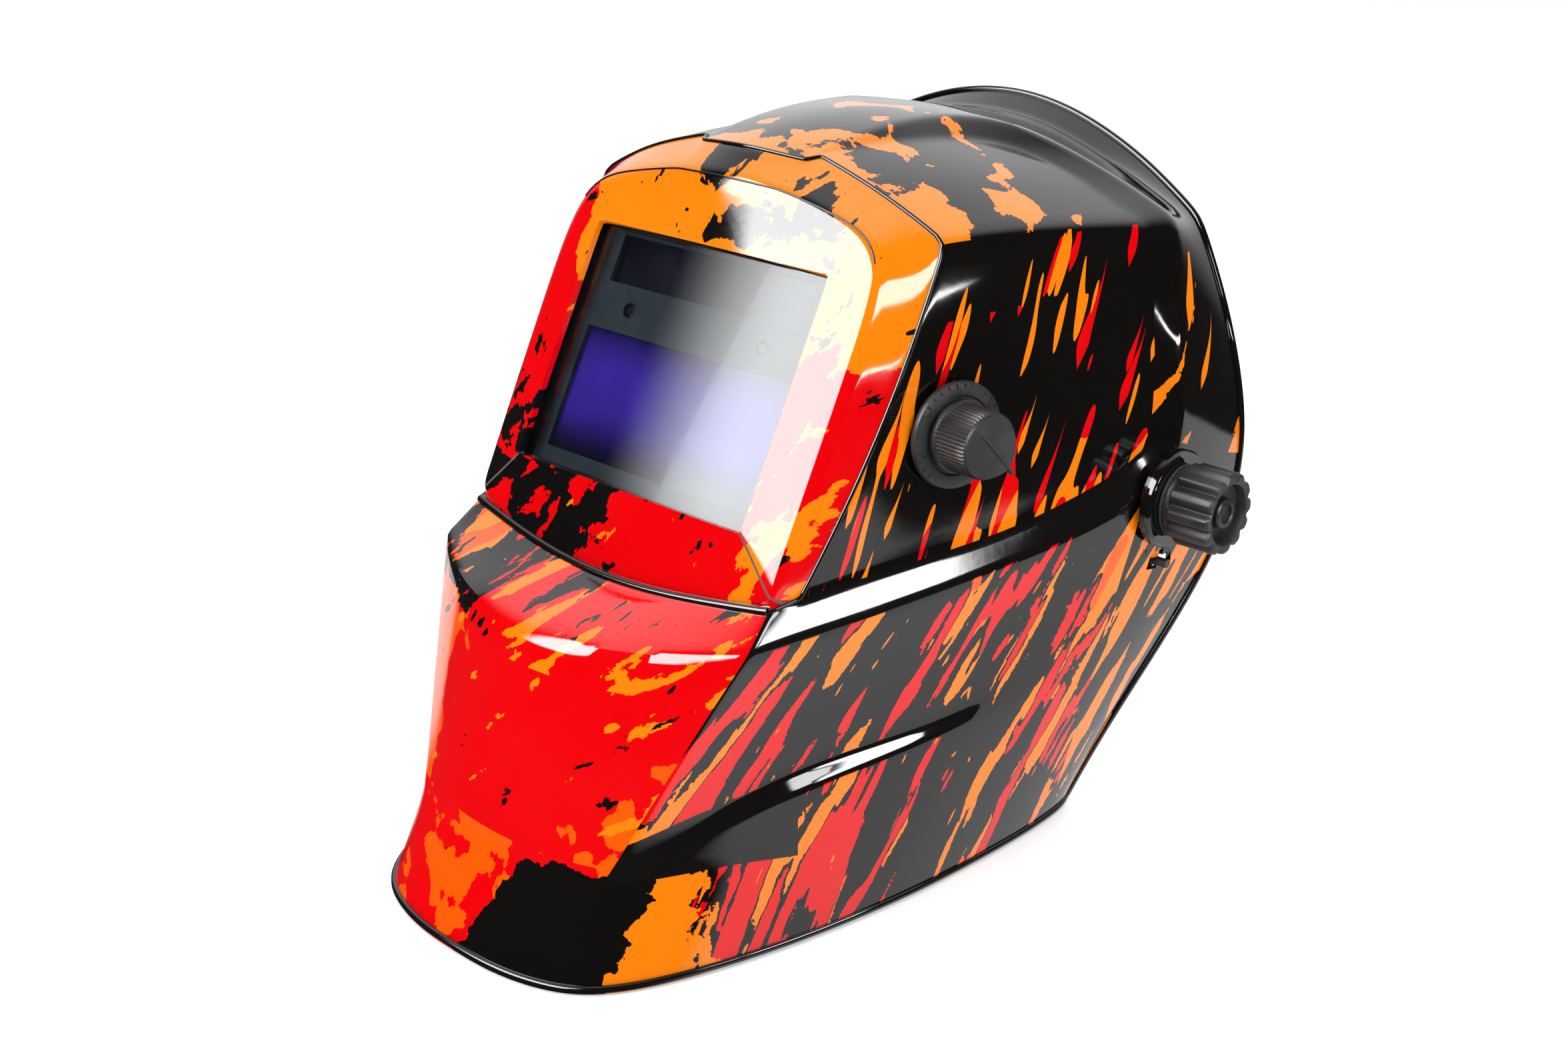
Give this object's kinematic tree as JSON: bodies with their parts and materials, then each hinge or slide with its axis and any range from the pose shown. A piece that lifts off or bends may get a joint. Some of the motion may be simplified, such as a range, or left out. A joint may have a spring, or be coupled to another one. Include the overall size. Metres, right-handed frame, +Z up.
{
  "type": "welding helmet",
  "caption": "Auto-darkening welding helmet with a one-piece shell, window filter cartridge, side shade dial, tilting pivots and ratchet headgear.",
  "frame": {"origin": "on the surface the helmet stands on, at the middle of the model's length and width", "axes": "+Z up, -Y towards the front of the helmet, +X to the wearer's left"},
  "size_m": [0.258, 0.3412, 0.2388],
  "materials": {
    "shell": "gloss, printed pattern",
    "clear_lens": "clear",
    "rubber": "matte",
    "black_plastic": "fine texture",
    "satin_plastic": "satin",
    "filter_glass": "dark blue tint",
    "solar": "gloss",
    "circuit": "lacquered board",
    "steel": "zinc plated",
    "fabric": "brushed towelling over foam",
    "lead": "satin jacket"
  },
  "bodies": {
    "helmet": {"helmet_shell": "shell", "front_cover_lens": "clear_lens", "lens_gasket": "rubber", "filter_case_front": "black_plastic", "filter_case_back": "black_plastic", "arc_sensor_left": "filter_glass", "arc_sensor_right": "filter_glass", "lcd_filter_glass": "filter_glass", "solar_cell": "solar", "circuit_board": "circuit", "battery_cell": "steel", "battery_cover": "satin_plastic", "inner_cover_lens": "clear_lens", "filter_holder": "black_plastic", "holder_screw_1": "steel", "holder_screw_2": "steel", "holder_screw_3": "steel", "holder_screw_4": "steel", "shade_dial_plate": "black_plastic", "shade_potentiometer": "steel", "potentiometer_nut": "steel", "shade_lead": "lead", "friction_washer_left": "rubber", "friction_washer_right": "rubber", "angle_stop_left": "satin_plastic", "angle_stop_right": "satin_plastic"},
    "headgear": {"headband_front": "black_plastic", "sweatband": "fabric", "side_arm_left": "satin_plastic", "side_arm_right": "satin_plastic", "arm_rivet_left": "steel", "arm_rivet_right": "steel", "crown_strap_left": "black_plastic", "crown_strap_right": "black_plastic", "crown_pin": "satin_plastic", "pivot_bolt_left": "satin_plastic", "pivot_bolt_right": "satin_plastic", "ratchet_housing": "satin_plastic", "ratchet_cover": "satin_plastic", "nape_pad": "fabric"},
    "sensitivity": {"sensitivity_knob": "satin_plastic"},
    "delay": {"delay_knob": "satin_plastic"},
    "grind": {"grind_switch": "satin_plastic"},
    "latch": {"filter_latch": "satin_plastic"},
    "shade": {"shade_knob": "black_plastic", "potentiometer_shaft": "steel"},
    "tension_left": {"pivot_knob_left": "black_plastic"},
    "tension_right": {"pivot_knob_right": "black_plastic"},
    "strap_left": {"rear_strap_left": "black_plastic"},
    "strap_right": {"rear_strap_right": "black_plastic"},
    "ratchet": {"ratchet_knob": "black_plastic", "ratchet_pinion": "steel"}
  },
  "joints": [
    {"name": "headgear_tilt", "type": "hinge", "parent": "helmet", "child": "headgear", "pos_m": [0, 0.0572, 0.116], "axis": [1, 0, 0], "range_deg": [0, 75]},
    {"name": "shade_turn", "type": "hinge", "parent": "helmet", "child": "shade", "pos_m": [0.0813, -0.0298, 0.1555], "axis": [0.9707, -0.233, 0.0582], "range_deg": [-30, 240]},
    {"name": "sensitivity_turn", "type": "hinge", "parent": "helmet", "child": "sensitivity", "pos_m": [0.014, -0.04406, 0.18455], "axis": [0, -0.8788, 0.4772], "range_deg": [-135, 135]},
    {"name": "delay_turn", "type": "hinge", "parent": "helmet", "child": "delay", "pos_m": [0.034, -0.04406, 0.18455], "axis": [0, -0.8788, 0.4772], "range_deg": [-135, 135]},
    {"name": "grind_slide", "type": "slide", "parent": "helmet", "child": "grind", "axis": [1, 0, 0], "range_m": [0, 0.005]},
    {"name": "latch_swing", "type": "hinge", "parent": "helmet", "child": "latch", "pos_m": [0, -0.03631, 0.2072], "axis": [1, 0, 0], "range_deg": [0, 70]},
    {"name": "tension_turn_left", "type": "hinge", "parent": "headgear", "child": "tension_left", "pos_m": [0.12, 0.0572, 0.116], "axis": [1, 0, 0], "continuous": true},
    {"name": "tension_turn_right", "type": "hinge", "parent": "headgear", "child": "tension_right", "pos_m": [-0.12, 0.0572, 0.116], "axis": [-1, 0, 0], "continuous": true},
    {"name": "ratchet_turn", "type": "hinge", "parent": "headgear", "child": "ratchet", "pos_m": [0, 0.14508, 0.06828], "axis": [0, -0.8788, 0.4772], "range_deg": [0, 152]},
    {"name": "strap_left_slide", "type": "slide", "parent": "headgear", "child": "strap_left", "axis": [-1, 0, 0], "range_m": [0, 0.012]},
    {"name": "strap_right_slide", "type": "slide", "parent": "headgear", "child": "strap_right", "axis": [1, 0, 0], "range_m": [0, 0.012]}
  ],
  "couplings": [
    {"joint": "strap_left_slide", "follows": "ratchet_turn", "m_per_rad": 0.0045},
    {"joint": "strap_right_slide", "follows": "ratchet_turn", "m_per_rad": 0.0045}
  ]
}
